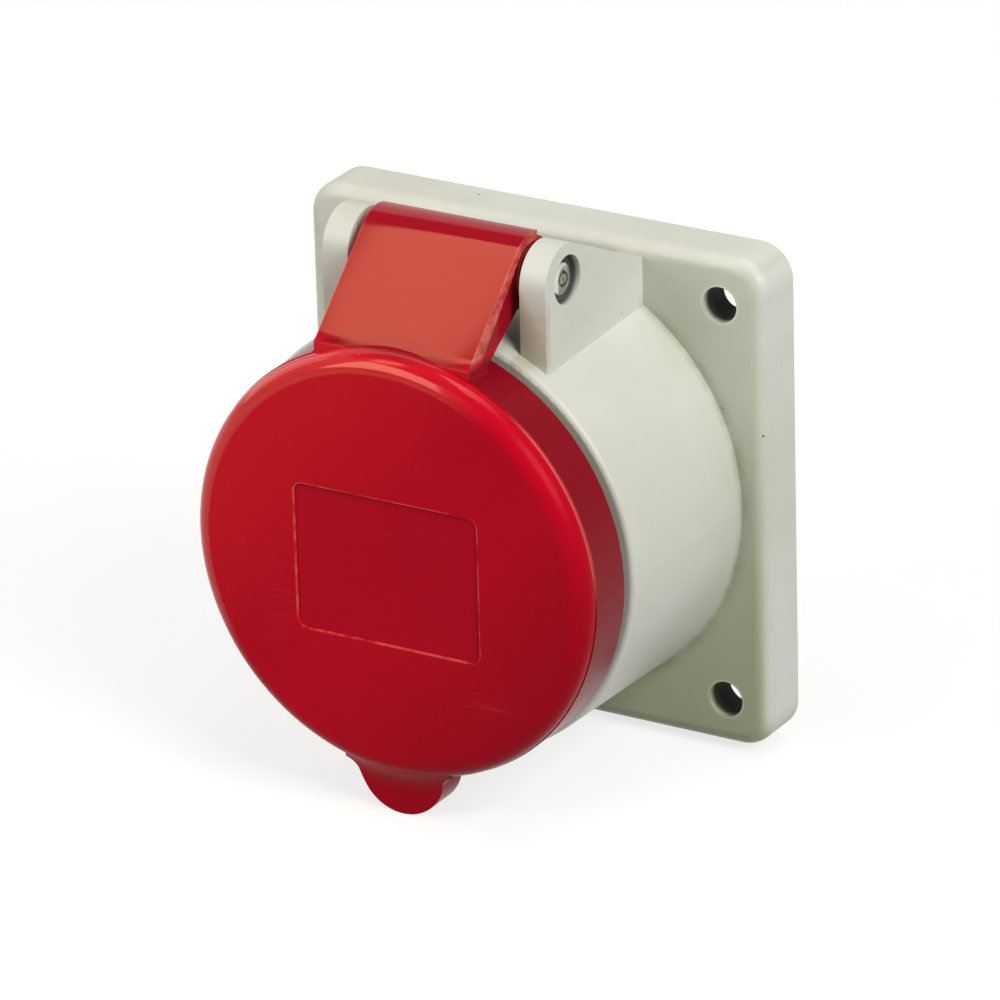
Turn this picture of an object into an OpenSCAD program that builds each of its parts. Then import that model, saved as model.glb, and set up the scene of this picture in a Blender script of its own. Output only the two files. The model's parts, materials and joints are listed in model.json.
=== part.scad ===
// Industrial panel socket, red, four-pole, with a sprung lid.
// Millimetres. X runs to the right seen from the front, the socket faces -Y, Z is up.
// The origin lies on the socket axis, in the plane where the flange meets the panel.
// "Ahead" is the distance in front of that plane, so ahead = -Y.

/* [Flange] */
// Width and height of the square flange
flange_w = 74; // [73:0.5:80]
// Depth of the flange, from the panel to its front face
flange_t = 8.5; // [8:0.1:10]
// Corner radius of the flange
flange_corner_r = 5; // [4:0.5:7]
// Rounding of the flange's front edge
flange_edge_r = 2.2; // [1:0.2:3]
// Thickness of the flange's front plate
flange_face_t = 2.5; // [2:0.1:3]
// Thickness of the rim that stands on the panel
flange_rim_t = 4.4; // [4.2:0.1:4.6]
// Distance of the fixing holes from the flange's edges
hole_inset = 7; // [6.5:0.1:7.4]
// Fixing hole
fixing_hole_d = 5.3; // [4.3:0.1:5.6]
// Length of a fixing hole, from the front face to the end of its boss
fixing_hole_len = 6; // [5:0.5:7]
// Wall around a fixing hole
fixing_boss_wall = 1.9; // [1.6:0.1:2]

/* [Collar and shroud] */
// Space between the shroud and the collar around it
collar_gap = 2.5; // [2.3:0.1:2.7]
// Length of the collar in front of the flange
collar_len = 29; // [28.4:0.2:30]
// How much narrower the collar is at its front than at the flange
collar_draft = 0.8; // [0.4:0.1:0.9]
// Rounding of the collar's front edge
collar_edge_r = 0.8; // [0.6:0.1:1.2]
// Wall of the collar at the flange
collar_wall = 2.4; // [2.2:0.1:2.6]
// Inner radius of the shroud that the plug enters
shroud_r = 25.5; // [25.2:0.1:25.7]
// Wall of the shroud
shroud_wall = 2.6; // [2.4:0.1:2.8]
// Length of the shroud in front of the collar
mouth_len = 7.5; // [7:0.1:8]
// Number of ribs between collar and shroud
collar_ribs = 8; // [8:4:12]
// Thickness of those ribs
rib_t = 1.6; // [1.2:0.2:2]
// Width of the keyway
key_w = 6; // [5:0.5:7]
// Depth of the keyway in the shroud's wall
key_deep = 1.4; // [1:0.1:1.5]

/* [Hinge] */
// Hinge axis, ahead of the flange's front face
pin_ahead = 20.6; // [20.2:0.1:21]
// Hinge axis, above the collar
pin_over = 5.9; // [5.8:0.1:6.4]
// Hinge pin radius
pin_r = 2.5; // [2:0.1:2.6]
// How far each end of the pin stands out of its recess's floor
pin_proud = 0.6; // [0.3:0.1:1]
// Space between the lid's arm and an ear
arm_gap = 1.4; // [1.2:0.1:1.8]
// Thickness of an ear
ear_t = 4.1; // [3.8:0.1:4.3]
// Radius of an ear's round end
ear_round_r = 5.5; // [5.2:0.1:5.7]
// How far below the pin an ear's top edge meets the flange
ear_fall = 4.4; // [3.8:0.2:5]
// Radius of the recess around the pin's end
recess_r = 3.55; // [3.2:0.05:3.7]
// Depth of that recess
recess_deep = 1.6; // [1.2:0.1:2]

/* [Lid] */
// Space between the shroud and the lid's side wall
lid_room = 1.8; // [1.6:0.1:2]
// Side wall of the lid
lid_wall = 1.8; // [1.6:0.1:1.9]
// Gap between the collar's front and the lid's rim
rim_gap = 1.8; // [1.4:0.1:2.2]
// Front plate of the lid
lid_plate = 2.2; // [2:0.1:2.4]
// Rounding of the lid's front edge
lid_edge_r = 2.8; // [2:0.2:3]
// Step in the lid's side, behind that rounding
lid_step = 0.15; // [0.1:0.05:0.5]
// Width of the sunk panel in the lid's face
panel_w = 29.4; // [26:0.2:32]
// Height of the sunk panel
panel_h = 21.8; // [18:0.2:24]
// Depth of the sunk panel
panel_deep = 0.4; // [0.2:0.1:0.6]
// Radius of the thumb tab
tab_r = 6.9; // [6:0.1:8]
// How far the thumb tab's centre lies inside the lid's edge
tab_in = 0.7; // [0.4:0.1:1.2]
// Thickness of the thumb tab
tab_t = 5; // [4:0.2:5.4]
// How far the tab's front stands ahead of the foot of the rounded edge
tab_ahead = 0.8; // [0:0.1:1.2]
// Radius of the hollow in which the tab's front runs up to that edge
tab_hollow_r = 7; // [4:0.5:8]
// Radius that blends the tab into the lid
tab_blend_r = 2.5; // [1.5:0.1:3.5]
// Width of the hinge arm
arm_w = 24.6; // [24:0.2:25.4]
// Thickness of the arm's cheeks
cheek_t = 2.2; // [1.8:0.1:2.4]
// How far the cheeks lie inside the edges of the arm's plate
cheek_in = 0.3; // [0.2:0.05:0.5]
// Radius of the fillets between the cheeks and the lid's side
arm_root_r = 2; // [1:0.1:2.4]
// Outer radius of the knuckle around the pin
knuckle_r = 5.3; // [5.1:0.1:5.5]
// Outer radius of the arm's plate where it wraps over the knuckle
wrap_r = 6; // [5.8:0.1:6.3]
// Thickness of that plate
wrap_t = 1.4; // [1.2:0.1:1.6]
// Where the wrap ends, in degrees up from straight ahead
wrap_end = 105; // [95:1:110]
// Thickness of the lid seal
lid_seal_t = 2.7; // [2.5:0.1:2.9]
// Width of the nose that keeps a plug from slipping out
nose_w = 8; // [6:0.5:9]
// Height of that nose
nose_h = 4; // [3:0.5:5]
// Space between the nose and the shroud
nose_room = 2.5; // [2.3:0.1:3]
// How far the nose reaches into the mouth
nose_deep = 1.5; // [1:0.1:1.8]

/* [Hinge spring] */
// Wire radius
wire_r = 0.45; // [0.35:0.05:0.5]
// Whole turns between the two legs
wire_turns = 7; // [5:1:8]
// Half the coil's length along the pin
coil_half = 6; // [5:0.5:8]
// Reach of the fixed leg behind the pin
fixed_leg = 9; // [8:0.5:10]

/* [Contacts] */
// Radius of the circle that the contacts stand on
contact_ring_r = 13.8; // [13.6:0.1:14]
// Bore radius of the three phase contacts
phase_bore_r = 2.5; // [2.4:0.05:2.6]
// Bore radius of the earth contact
earth_bore_r = 3.5; // [3.4:0.05:3.6]
// Wall of a contact sleeve
sleeve_wall = 1.2; // [1:0.1:1.2]
// Depth of the bore that takes a plug's pin
bore_deep = 30; // [26:0.5:32]
// Length of the slits that let a sleeve spring
slit_len = 18; // [14:0.5:20]
// Width of those slits
slit_w = 0.8; // [0.6:0.1:1]
// Wire radius of the ring springs
ring_wire_r = 0.45; // [0.4:0.05:0.5]
// Radius of the wire hole at the back of a contact
wire_hole_r = 2.2; // [2:0.1:2.4]
// Depth of that hole
wire_hole_len = 12; // [10:0.5:13]
// Wall around it
terminal_wall = 2.3; // [2.1:0.1:2.4]
// From the end of a terminal to its clamp screw
clamp_from_end = 6; // [5:0.5:7]
// Length of a contact's terminal, behind the panel plane
terminal_len = 17; // [16:0.5:18]

/* [Inserts] */
// Wall of the front insert beside the earth contact
insert_side = 1.75; // [1.5:0.05:1.9]
// Recess of the insert's face inside the mouth
insert_recess = 4.5; // [4.3:0.1:5]
// Wall of the hollow inserts
insert_wall = 2.2; // [1.8:0.1:2.2]
// Space between the insert's screw heads and the rear insert, which passes through the panel
rear_gap = 1.05; // [0.85:0.05:1.3]
// Length of the rear insert behind the panel plane
rear_len = 20; // [19.5:0.5:22]
// Length of the walls that part the terminals, behind the panel plane
divider_len = 14; // [12:0.5:15]
// Length of the post that takes the centre screw's head, behind the panel plane
post_len = 8; // [7:0.5:9]
// Wall of that post
post_wall = 2.3; // [2:0.1:2.5]

/* [Screws] */
// Shank radius of the insert's screws
small_screw_r = 1.15; // [1:0.05:1.2]
// Length of the insert's screws
small_screw_len = 13; // [11:0.5:14]
// Height of their countersunk heads
small_head_h = 1.2; // [1:0.1:1.3]
// Shank radius of the centre screw
centre_screw_r = 1.7; // [1.5:0.1:1.8]
// Length of the centre screw's shank
centre_screw_len = 20; // [18:0.5:21]
// Height of its head
centre_head_h = 2.4; // [2:0.1:2.8]
// How far its head stands out past the shank
centre_head_out = 1.8; // [1.6:0.1:2]
// Shank radius of the terminal screws
clamp_screw_r = 2; // [1.8:0.1:2]

/* [Clearances] */
// Pin in the ears, on the radius
pin_fit = 0.02; // [0.01:0.01:0.04]
// Lid on the pin, on the radius
lid_fit = 0.06; // [0.04:0.01:0.1]
// Lid hub to the ear
hub_gap = 0.3; // [0.3:0.05:0.5]
// Screw threads, on the radius
thread_fit = 0.02; // [0.01:0.01:0.04]
// Inserts and sleeves in their seats, on the radius
seat_fit = 0.15; // [0.1:0.05:0.2]
// Wide clearance between moulded parts
mould_gap = 0.3; // [0.25:0.05:0.4]

/* [View] */
// Piece to show

/* [Hidden] */
$fn = 72;
cut = 0.01;                   // pushes a cut through the face that it opens

grey = [0.80, 0.80, 0.78];
red = [0.66, 0.07, 0.12];
dark = [0.12, 0.12, 0.13];
brass = [0.80, 0.68, 0.36];
steel = [0.72, 0.73, 0.75];

fixing_pitch = flange_w - 2 * hole_inset;
plate_back = flange_t - flange_face_t;
hollow_w = flange_w - 2 * flange_rim_t;
boss_r = fixing_hole_d / 2 + fixing_boss_wall;
groove_w = 1.8;               // groove for the panel seal, in the middle of the rim
groove_deep = 1.6;

shroud_out_r = shroud_r + shroud_wall;
collar_r = shroud_out_r + collar_gap + collar_wall;
collar_front = flange_t + collar_len;
mouth_front = collar_front + mouth_len;
seat = 4;                     // plane that the insert's seal and flange are screwed to
annulus_floor = 9;            // bottom of the ring-shaped space for the plug's collar
screw_ring_r = shroud_out_r + collar_gap / 2;
screw_boss_r = small_screw_r + 1.5;
rear_r = screw_ring_r - 2 * small_screw_r - rear_gap;

pin_up = collar_r + pin_over;
hinge = [flange_t + pin_ahead, pin_up];
ear_centre = hinge + [0.55, -0.15];
ear_in = arm_w / 2 + arm_gap;
ear_out = ear_in + ear_t;
pin_half = ear_out - recess_deep + pin_proud;
coil_r = pin_r + 0.2 + wire_r;

lid_in_r = shroud_out_r + lid_room;
lid_r = lid_in_r + lid_wall;
lid_back = collar_front + rim_gap;
seal_back = mouth_front;
plate_in = seal_back + lid_seal_t;
lid_front = plate_in + lid_plate;
seal_in_r = shroud_r - 0.4;
crown_back = lid_front - lid_edge_r - 0.3;
crown_r = lid_r - lid_step;
tab_up = tab_in - lid_r;
cheek_out = arm_w / 2 - cheek_in;
arm_foot = [crown_back + 0.1, lid_r - 1];
arm_in_foot = [crown_back - 3.1, lid_r - 1.3];
cheek_foot = [lid_back + 2, lid_r - 2.3];

insert_face = mouth_front - insert_recess;
insert_back = 1;              // the two inserts meet here
insert_front_t = 2.5;
insert_seal_t = 1;
sleeve_collar = 1.1;          // how far a sleeve's collar stands out
sleeve_front = insert_face - insert_front_t - 0.5;
spring_back = 4;              // from a sleeve's front to its ring spring
terminal_r = wire_hole_r + terminal_wall;
clamp_back = terminal_len - clamp_from_end;

earth = 270;
angles = [180, 90, 0, earth]; // L1, L2, L3 and earth, seen from the front
bores = [phase_bore_r, phase_bore_r, phase_bore_r, earth_bore_r];
insert_r = contact_ring_r + sleeve_room(3) + insert_side;

// ---------- placing ----------

// A flat shape in X and Z, from ahead = a to ahead = b
module ahead(a, b) {
    rotate([90, 0, 0])
        translate([0, 0, a])
            linear_extrude(b - a)
                children();
}

// A flat shape in (ahead, up), from X = a to X = b
module across(a, b) {
    rotate([0, 0, -90])
        rotate([90, 0, 0])
            translate([0, 0, -b])
                linear_extrude(b - a)
                    children();
}

// A flat shape in (X, ahead), from Z = a to Z = b
module upward(a, b) {
    translate([0, 0, a])
        linear_extrude(b - a)
            mirror([0, 1])
                children();
}

// A profile in (radius, ahead), turned about the socket axis
module turned() {
    rotate([90, 0, 0])
        rotate_extrude()
            children();
}

// A profile in (radius, X), turned about the hinge axis
module turned_on_pin() {
    translate([0, -hinge.x, hinge.y])
        rotate([0, 90, 0])
            rotate_extrude()
                children();
}

// Children moved to a contact's place
module at_contact(i) {
    translate([contact_ring_r * cos(angles[i]), 0, contact_ring_r * sin(angles[i])])
        children();
}

module both_sides() {
    children();
    mirror([1, 0, 0])
        children();
}

module at_corners(pitch) {
    for (x = [-1, 1], z = [-1, 1])
        translate([x * pitch / 2, 0, z * pitch / 2])
            children();
}

// ---------- shapes ----------

module ring(outer, inner) {
    difference() {
        circle(outer);
        circle(inner);
    }
}

module rounded(w, h, r) {
    square([w - 2 * r, h], center = true);
    square([w, h - 2 * r], center = true);
    for (x = [-1, 1], y = [-1, 1])
        translate([x * (w / 2 - r), y * (h / 2 - r)])
            circle(r);
}

// Point where a line from p touches a circle; side is +1 or -1
function touch(p, c, r, side) =
    let (d = p - c, turn = atan2(d.y, d.x) + side * acos(r / norm(d)))
        c + r * [cos(turn), sin(turn)];

function polar(r, a) = [r * cos(a), r * sin(a)];

// Half of a slab's section: square at the back, rounded by r at the front
module slab_end(reach, t, r) {
    square([reach, t - r]);
    square([reach - r, t]);
    translate([reach - r, t - r])
        circle(r);
}

// ---------- housing ----------

module flange_section() {
    slab_end(flange_w / 2, flange_t, flange_edge_r);
    mirror([1, 0])
        slab_end(flange_w / 2, flange_t, flange_edge_r);
}

module flange_block() {
    straight = flange_w / 2 - flange_corner_r;
    across(-straight, straight)
        mirror([1, -1])
            flange_section();
    upward(-straight, straight)
        flange_section();
    at_corners(2 * straight)
        turned()
            slab_end(flange_corner_r, flange_t, flange_edge_r);
}

// One ear in (ahead, up): a round end, a sloping back and a straight front
module ear_shape() {
    foot = [flange_t - 1, pin_up - ear_fall];
    back = touch(foot, ear_centre, ear_round_r, -1);
    front = ear_centre.x + ear_round_r;
    // sinks into the collar's wall
    root = sqrt(collar_at(front) ^ 2 - ear_out ^ 2) - collar_wall / 2;
    translate(ear_centre)
        circle(ear_round_r);
    polygon([foot, back, ear_centre, [front, ear_centre.y], [front, root], [foot.x, root]]);
}

// Outer radius of the collar at a place ahead of the flange
function collar_at(place) = collar_r - collar_draft * (place - flange_t) / collar_len;

// The collar narrows from the flange to its rounded front edge
module collar_block() {
    foot = [collar_r, flange_t];
    edge = [collar_r - collar_draft - collar_edge_r, collar_front - collar_edge_r];
    turned() {
        polygon([[0, 0], [collar_r, 0], foot, touch(foot, edge, collar_edge_r, 1), edge,
            [edge.x, collar_front], [0, collar_front]]);
        translate(edge)
            circle(collar_edge_r);
        slab_end(shroud_out_r, mouth_front, 0.8);
    }
}

// Ring-shaped hollow between collar and shroud, with its ribs and screw bosses left in
module collar_hollow() {
    ahead(seat - cut, collar_front - collar_wall)
        difference() {
            ring(collar_r - collar_wall, shroud_out_r);
            for (i = [0 : collar_ribs - 1])
                rotate(360 * i / collar_ribs)
                    translate([0, -rib_t / 2])
                        square([collar_r, rib_t]);
            for (i = [0 : 3])
                translate(polar(screw_ring_r, 45 + 90 * i))
                    circle(screw_boss_r);
        }
}

module flange_hollow() {
    ahead(-cut, seat)
        difference() {
            rounded(hollow_w, hollow_w, 2);
            fixing_bosses();
        }
    ahead(seat - cut, plate_back)
        difference() {
            rounded(hollow_w, hollow_w, 2);
            fixing_bosses();
            circle(collar_r);
        }
    ahead(-cut, flange_t - fixing_hole_len)
        fixing_bosses();
}

module fixing_bosses() {
    for (x = [-1, 1], y = [-1, 1])
        translate([x, y] * fixing_pitch / 2)
            circle(boss_r);
}

module panel_groove(inner, outer) {
    difference() {
        rounded(outer, outer, flange_corner_r - 1);
        rounded(inner, inner, flange_corner_r - 1 - (outer - inner) / 2);
    }
}

module housing() {
    seal_mid = flange_w - flange_rim_t;
    color(grey)
        difference() {
            union() {
                flange_block();
                collar_block();
                both_sides()
                    across(ear_in, ear_out)
                        ear_shape();
            }
            flange_hollow();
            collar_hollow();
            ahead(-cut, mouth_front + cut)
                circle(shroud_r);
            ahead(annulus_floor, mouth_front + cut)
                translate([-key_w / 2, -shroud_r - key_deep])
                    square([key_w, shroud_r]);
            at_corners(fixing_pitch)
                ahead(-cut, flange_t + cut)
                    circle(fixing_hole_d / 2);
            ahead(seat - cut, insert_back + small_screw_len + 2)
                for (i = [0 : 3])
                    translate(polar(screw_ring_r, 45 + 90 * i))
                        circle(small_screw_r + thread_fit);
            ahead(-cut, groove_deep)
                panel_groove(seal_mid - groove_w, seal_mid + groove_w);
            across(-ear_out - 1, ear_out + 1)
                translate(hinge)
                    circle(pin_r + pin_fit);
            both_sides()
                across(ear_out - recess_deep, ear_out + 1)
                    translate(hinge)
                        circle(recess_r);
        }
}

module panel_seal() {
    seal_mid = flange_w - flange_rim_t;
    color(dark)
        ahead(0, groove_deep)
            panel_groove(seal_mid - groove_w + 0.1, seal_mid + groove_w - 0.1);
}

module hinge_pin() {
    dimple_r = pin_r * 0.5;
    dimple_deep = 2;
    edge = 0.35;
    color(steel)
        turned_on_pin()
            difference() {
                polygon([[0, -pin_half], [pin_r - edge, -pin_half], [pin_r, edge - pin_half],
                    [pin_r, pin_half - edge], [pin_r - edge, pin_half], [0, pin_half]]);
                for (side = [-1, 1])
                    translate([0, side * pin_half])
                        square([2 * dimple_r, 2 * dimple_deep], center = true);
            }
}

// ---------- lid ----------

module lid_shell() {
    turned() {
        translate([0, lid_back])
            square([lid_r, crown_back - lid_back]);
        translate([0, lid_back])
            slab_end(crown_r, lid_front - lid_back, lid_edge_r);
    }
}

module tab_shape() {
    centre = [0, tab_up];
    // centre of the blend, which meets both the lid's edge and the tab
    from_axis = lid_r + tab_blend_r;
    from_tab = tab_r + tab_blend_r;
    down = (from_axis ^ 2 - from_tab ^ 2 + tab_up ^ 2) / (2 * tab_up);
    blend = [sqrt(from_axis ^ 2 - down ^ 2), down];
    translate(centre)
        circle(tab_r);
    for (side = [0, 1])
        mirror([side, 0])
            difference() {
                polygon([[0, 0], centre, blend]);
                translate(blend)
                    circle(tab_blend_r + 0.04);
            }
}

// The tab, whose front runs up to the lid's rounded edge in a hollow
module tab() {
    front = crown_back + tab_ahead;
    edge = [crown_r - lid_edge_r, lid_front - lid_edge_r];
    rise = front + tab_hollow_r - edge.y;
    middle = edge + [sqrt((lid_edge_r + tab_hollow_r) ^ 2 - rise ^ 2), rise];
    top = middle.y + cut;
    far = lid_r + tab_r;
    difference() {
        ahead(front - tab_t, lid_front - 0.5)
            tab_shape();
        turned() {
            translate(middle)
                circle(tab_hollow_r + 0.04);
            polygon([edge, middle, [middle.x, front], [far, front], [far, top], [edge.x, top]]);
        }
    }
}

// Fillet in (X, up) between a cheek's outer side and the lid's side wall
module arm_root() {
    out = cheek_out + arm_root_r;
    middle = [out, sqrt((lid_r + arm_root_r) ^ 2 - out ^ 2)];
    foot = middle * (lid_r - 1) / (lid_r + arm_root_r);
    difference() {
        polygon([foot, middle, [cheek_out - 1, middle.y], [cheek_out - 1, foot.y]]);
        translate(middle)
            circle(arm_root_r + 0.04);
    }
}

// Where the arm's straight run meets its wrap, a hair inside so that the two cross
function wrap_start() = touch(arm_foot, hinge, wrap_r - 0.01, 1);

// The arm's plate in (ahead, up): a straight run that wraps over the knuckle
module arm_plate() {
    start = wrap_start();
    inner_r = wrap_r - wrap_t;
    start_in = touch(arm_in_foot, hinge, inner_r, 1);
    start_turn = atan2(start.y - hinge.y, start.x - hinge.x) - 5;
    low = lid_r - lid_wall - 2;
    polygon([[arm_foot.x, low], arm_foot, start, start_in, arm_in_foot, [arm_in_foot.x, low]]);
    intersection() {
        translate(hinge)
            ring(wrap_r, inner_r);
        translate(hinge)
            polygon([[0, 0], for (turn = [start_turn : 15 : wrap_end]) polar(12, turn),
                polar(12, wrap_end)]);
    }
}

module arm_cheek() {
    low = lid_r - lid_wall - 2;
    translate(hinge)
        circle(knuckle_r);
    polygon([[arm_foot.x, low], arm_foot, wrap_start(), hinge, hinge + polar(knuckle_r, -48),
        cheek_foot, [cheek_foot.x, low]]);
}

module lid() {
    half = arm_w / 2;
    color(red)
        difference() {
            union() {
                difference() {
                    union() {
                        lid_shell();
                        tab();
                        across(-half, half)
                            arm_plate();
                        both_sides() {
                            across(cheek_out - cheek_t, cheek_out)
                                arm_cheek();
                            ahead(cheek_foot.x + 0.6, crown_back - 0.2)
                                arm_root();
                        }
                    }
                    ahead(lid_back - cut, plate_in)
                        circle(lid_in_r);
                }
                // rib that holds the seal, and the nose
                ahead(seal_back + 1, plate_in + 1)
                    ring(seal_in_r - 0.1, seal_in_r - 1.2);
                ahead(seal_back - nose_deep, plate_in + 1)
                    translate([-nose_w / 2, shroud_r - nose_room - nose_h])
                        square([nose_w, nose_h]);
                both_sides()
                    across(cheek_out - 1, ear_in - hub_gap)
                        translate(hinge)
                            circle(knuckle_r - 1.2);
            }
            across(-ear_in, ear_in)
                translate(hinge)
                    circle(pin_r + lid_fit);
            ahead(lid_front - panel_deep, lid_front + cut)
                translate([0, -0.4])
                    rounded(panel_w, panel_h, 1.5);
        }
}

module lid_seal() {
    color(dark)
        ahead(seal_back, plate_in)
            ring(lid_in_r - mould_gap, seal_in_r);
}

// ---------- hinge spring ----------

// Centre line as [X, ahead, up, turn]; the coil winds up from the fixed leg to the lid's leg
module hinge_spring() {
    sides = 8;
    steps = 18;
    // the fixed leg ends just above the collar and the other one just above the lid's side
    from = hinge.x - fixed_leg;
    start = [from, sqrt(collar_at(from) ^ 2 - coil_half ^ 2) + wire_r + mould_gap];
    end = [lid_back + 1.3, sqrt(lid_r ^ 2 - coil_half ^ 2) + wire_r + mould_gap];
    entering = touch(start, hinge, coil_r, 1);
    leaving = touch(end, hinge, coil_r, -1);
    fixed_turn = atan2(entering.y - hinge.y, entering.x - hinge.x);
    lid_turn = atan2(leaving.y - hinge.y, leaving.x - hinge.x) + 360;
    total = lid_turn - fixed_turn + 360 * wire_turns;
    n = ceil(total / 360 * steps);

    coil = [for (i = [0 : n])
        let (turn = fixed_turn + total * i / n)
            [coil_half * (2 * i / n - 1), each hinge + polar(coil_r, turn), turn]];
    line = [[-coil_half, each start, fixed_turn], each coil,
        [coil_half, each end, lid_turn]];

    // each ring of the wire lies across the line, on its outward and sideways directions
    points = [for (p = line, j = [0 : sides - 1])
        let (out = wire_r * cos(360 * j / sides), side = wire_r * sin(360 * j / sides))
            [p.x + side, -(p.y + out * cos(p[3])), p.z + out * sin(p[3])]];
    count = len(line);
    faces = [
        [for (j = [0 : sides - 1]) j],
        for (i = [0 : count - 2], j = [0 : sides - 1])
            let (a = i * sides, k = (j + 1) % sides)
                [a + sides + j, a + sides + k, a + k, a + j],
        [for (j = [sides - 1 : -1 : 0]) (count - 1) * sides + j]
    ];
    color(steel)
        polyhedron(points, faces);
}

// ---------- contacts ----------

module contact(i) {
    bore = bores[i];
    out = bore + sleeve_wall;
    back = -terminal_len;
    groove = sleeve_front - spring_back;
    color(brass)
        at_contact(i)
            difference() {
                union() {
                    ahead(back, insert_back)
                        circle(terminal_r);
                    ahead(insert_back, insert_back + 2)
                        circle(out + sleeve_collar);
                    difference() {
                        ahead(insert_back, sleeve_front)
                            circle(out);
                        // groove for the ring spring
                        ahead(groove - ring_wire_r, groove + ring_wire_r)
                            ring(out + 1, out - 0.2);
                    }
                }
                ahead(sleeve_front - bore_deep, sleeve_front + cut)
                    circle(bore);
                ahead(sleeve_front - slit_len, sleeve_front + cut)
                    square([slit_w, 4 * out], center = true);
                ahead(back - cut, back + wire_hole_len)
                    circle(wire_hole_r);
                clamp_hole(i, clamp_screw_r + thread_fit, 0, terminal_r + 1);
            }
}

// A round hole or shank that points outward from a contact's axis, behind the panel
module clamp_hole(i, r, a, b) {
    translate([0, clamp_back, 0])
        rotate([0, 90 - angles[i], 0])
            translate([0, 0, a])
                cylinder(r = r, h = b - a);
}

module spring_ring(i) {
    mid_r = bores[i] + sleeve_wall - 0.2 + ring_wire_r;
    color(steel)
        at_contact(i)
            translate([0, spring_back - sleeve_front, 0])
                turned()
                    translate([mid_r, 0])
                        circle(ring_wire_r);
}

module clamp_screw(i) {
    head_out = terminal_r + 1.8;
    color(steel)
        at_contact(i)
            difference() {
                clamp_hole(i, clamp_screw_r, wire_hole_r + 0.1, head_out);
                translate([0, clamp_back, 0])
                    rotate([0, 90 - angles[i], 0])
                        translate([0, 0, head_out])
                            cube([1, 2 * clamp_screw_r + 1, 2], center = true);
            }
}

// ---------- inserts ----------

module front_insert() {
    cavity_r = insert_r - insert_wall;
    back = insert_back;
    plug_r = shroud_r - mould_gap;
    color(grey)
        difference() {
            union() {
                ahead(back, insert_face)
                    circle(insert_r);
                ahead(back, seat - insert_seal_t)
                    intersection() {
                        circle(screw_ring_r + screw_boss_r);
                        square(hollow_w - 2 * mould_gap, center = true);
                    }
                ahead(back, annulus_floor)
                    circle(plug_r);
            }
            // hollow behind the front plate, with tubes, ribs and a centre post left in
            ahead(back - cut, insert_face - insert_front_t)
                difference() {
                    circle(cavity_r);
                    circle(centre_screw_r + post_wall);
                    for (i = [0 : 3])
                        translate(polar(contact_ring_r, angles[i]))
                            circle(sleeve_room(i) + 1.4);
                    for (turn = [45, 135])
                        rotate(turn)
                            square([2 * insert_r, rib_t], center = true);
                }
            for (i = [0 : 3])
                at_contact(i) {
                    ahead(back - cut, insert_face - insert_front_t)
                        circle(sleeve_room(i));
                    ahead(back, insert_face + cut)
                        circle(bores[i] + 0.4);
                }
            ahead(back - cut, centre_screw_len - post_len + 1)
                circle(centre_screw_r + thread_fit);
            for (i = [0 : 3])
                rotate([0, -45 - 90 * i, 0])
                    translate([screw_ring_r, 0, 0])
                        turned()
                            polygon(countersink());
        }
}

// Section of the hole for a countersunk screw, in (radius, ahead)
function countersink() = [[0, insert_back - cut], [2 * small_screw_r + 0.2, insert_back - cut],
    [small_screw_r + seat_fit, insert_back + small_head_h + 0.2], [small_screw_r + seat_fit, seat],
    [0, seat]];

// Radius of the hole that holds a contact's collar and leaves its sleeve room to spring open
function sleeve_room(i) = bores[i] + sleeve_wall + sleeve_collar + seat_fit;

module rear_insert() {
    base_t = 2.5;
    ring_back = -6;
    tower_wall = 2;
    web = 2;
    back = -rear_len;
    divider_w = 2 * (rear_r - 4);
    color(dark)
        difference() {
            union() {
                ahead(insert_back - base_t, insert_back)
                    circle(rear_r);
                ahead(ring_back, insert_back)
                    ring(rear_r, rear_r - insert_wall);
                ahead(back, insert_back)
                    for (i = [0 : 3])
                        translate(polar(contact_ring_r, angles[i]))
                            circle(terminal_r + seat_fit + tower_wall);
                ahead(-post_len, insert_back)
                    circle(centre_screw_r + post_wall);
                // walls that part the terminals
                ahead(-divider_len, insert_back)
                    for (turn = [45, 135])
                        rotate(turn)
                            square([divider_w, rib_t], center = true);
            }
            for (i = [0 : 3])
                at_contact(i) {
                    ahead(back + web, insert_back + cut)
                        circle(terminal_r + seat_fit);
                    ahead(back - cut, back + web + cut)
                        circle(wire_hole_r + 1);
                    clamp_hole(i, clamp_screw_r + 0.5, 0, terminal_r + 4);
                }
            ahead(-post_len - cut, insert_back + cut)
                circle(centre_screw_r + seat_fit);
            ahead(-divider_len - cut, -post_len)
                circle(centre_screw_r + centre_head_out + 1);
        }
}

module insert_seal() {
    color(dark)
        ahead(seat - insert_seal_t, seat)
            ring(shroud_out_r - 0.2, shroud_r + 0.2);
}

module centre_screw() {
    head_r = centre_screw_r + centre_head_out;
    head_back = -post_len - centre_head_h;
    tip = centre_screw_len - post_len;
    color(steel)
        turned()
            polygon([[0, head_back], [head_r - 0.9, head_back], [head_r, head_back + 0.8],
                [head_r, -post_len], [centre_screw_r, -post_len], [centre_screw_r, tip],
                [0, tip]]);
}

module insert_screws() {
    tip = insert_back + small_screw_len;
    color(steel)
        for (i = [0 : 3])
            rotate([0, -45 - 90 * i, 0])
                translate([screw_ring_r, 0, 0])
                    turned()
                        polygon([[0, insert_back], [2 * small_screw_r, insert_back],
                            [small_screw_r, insert_back + small_head_h], [small_screw_r, tip],
                            [0, tip]]);
}

module contact_l1() { contact(0); }
module contact_l2() { contact(1); }
module contact_l3() { contact(2); }
module contact_earth() { contact(3); }
module spring_ring_l1() { spring_ring(0); }
module spring_ring_l2() { spring_ring(1); }
module spring_ring_l3() { spring_ring(2); }
module spring_ring_earth() { spring_ring(3); }

module phase_clamp_screws() {
    for (i = [0 : 2])
        clamp_screw(i);
}

module earth_clamp_screw() { clamp_screw(3); }

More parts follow.
